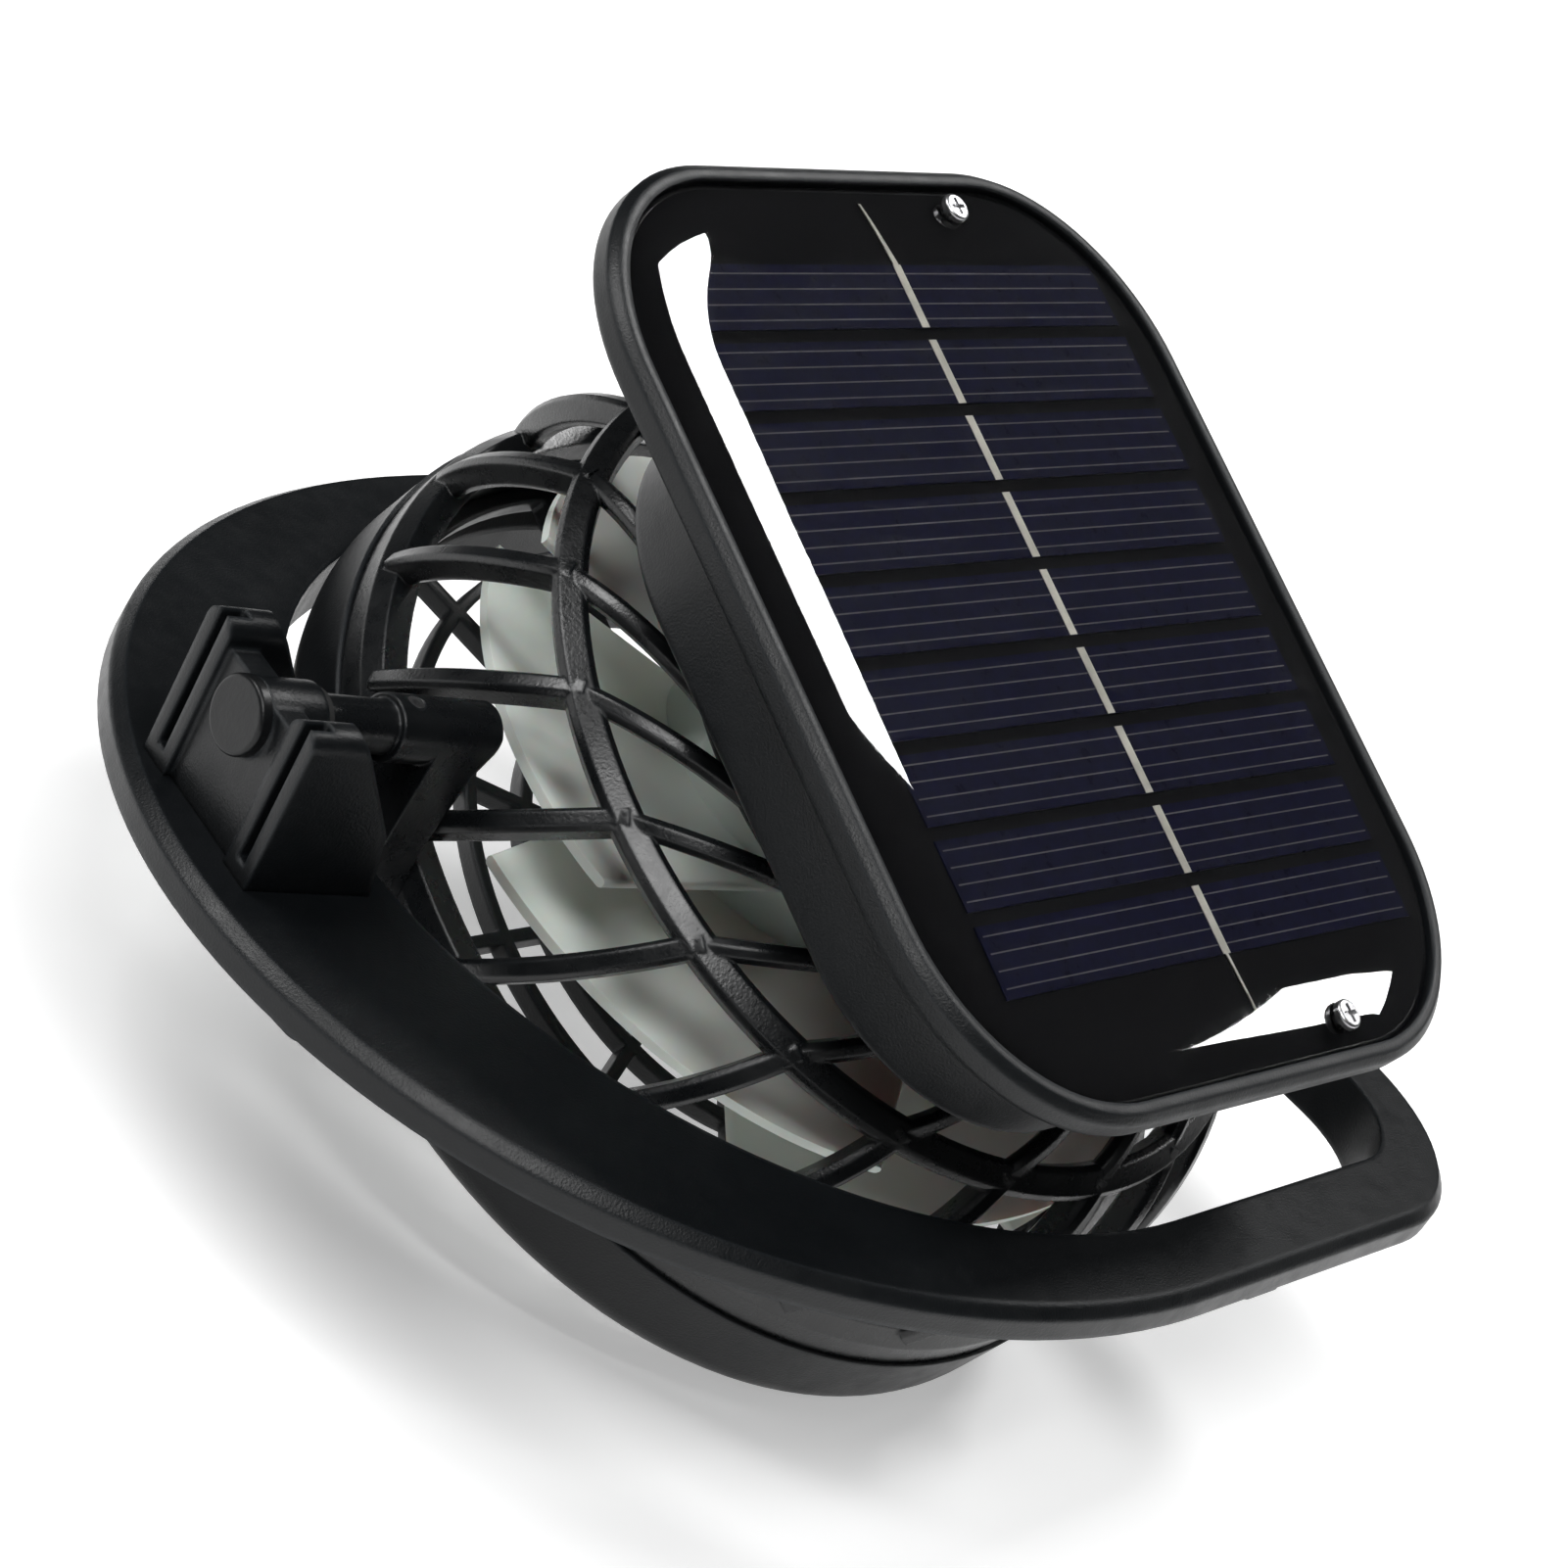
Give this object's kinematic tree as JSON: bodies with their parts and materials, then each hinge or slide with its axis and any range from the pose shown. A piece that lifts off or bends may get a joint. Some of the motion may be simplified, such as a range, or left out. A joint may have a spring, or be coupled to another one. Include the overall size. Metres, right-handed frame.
{
  "type": "solar fan on loop handle",
  "caption": "Caged axial fan with a solar panel on its back, tilting on a side pin in an oval loop handle with a two-rail bracket.",
  "frame": {"origin": "where the fan's own axis crosses the top face of the loop handle, at the middle of the loop's opening; mount loop_centre", "axes": "+Z is the loop's upward normal on the panel side; +X runs along the tilt pin from the bracket to the loop's open end; the fan blows along its own axis, tilted 22 degrees from Z towards -Y"},
  "size_m": [0.1729, 0.1526, 0.106],
  "materials": {
    "black_shell": "fine satin moulded ABS",
    "black_cage": "satin moulded ABS",
    "steel": "plated screw steel",
    "bronze": "sintered bronze",
    "magnet": "ferrite and lamination steel",
    "blade_plastic": "translucent smoke grey-green",
    "battery_wrap": "film wrapped pouch",
    "circuit_board": "solder mask",
    "button_plastic": "satin",
    "switch_plastic": "gloss",
    "light_pipe": "clear",
    "panel_backing": "black circuit laminate",
    "cell_silicon": "dark navy monocrystalline",
    "tab_silver": "tinned ribbon",
    "clear_resin": "clear domed resin",
    "pin_plastic": "semi gloss",
    "washer_rubber": "dull"
  },
  "bodies": {
    "loop": {"loop_handle": "black_shell", "loop_bracket": "black_shell", "bracket_screws": "steel"},
    "fan": {"front_rim": "black_shell", "front_grille": "black_shell", "rear_cage": "black_cage", "cage_screws": "steel", "motor_screws": "steel", "motor_can": "steel", "motor_end_cap": "black_shell", "motor_bushings": "bronze", "motor_magnets": "magnet", "electronics_box": "black_shell", "box_screws": "steel", "battery_pack": "battery_wrap", "control_board": "circuit_board", "charging_socket": "steel", "button_switch": "switch_plastic", "charge_light": "light_pipe", "panel_tray": "black_shell", "tray_screws": "steel", "panel_board": "panel_backing", "solar_cells": "cell_silicon", "cell_tabs": "tab_silver", "resin_cover": "clear_resin", "panel_screws": "steel", "tilt_knuckle": "black_cage", "tilt_pin": "pin_plastic", "pin_set_screw": "steel", "friction_washer": "washer_rubber"},
    "impeller": {"impeller": "blade_plastic", "motor_shaft": "steel", "motor_rotor": "magnet"},
    "button": {"power_button": "button_plastic"}
  },
  "joints": [
    {"name": "fan_tilt", "type": "hinge", "parent": "loop", "child": "fan", "pos_m": [0, 0, 0.0134], "axis": [1, 0, 0], "range_deg": [-10, 13]},
    {"name": "impeller_spin", "type": "hinge", "parent": "fan", "child": "impeller", "pos_m": [0, 0.00708, -0.01752], "axis": [0, -0.3746, 0.9272], "continuous": true},
    {"name": "power_button_press", "type": "slide", "parent": "fan", "child": "button", "axis": [-0.9874, -0.1466, -0.0592], "range_m": [0, 0.0008], "stiffness_N_per_m": 900, "springref_m": -0.0005}
  ]
}
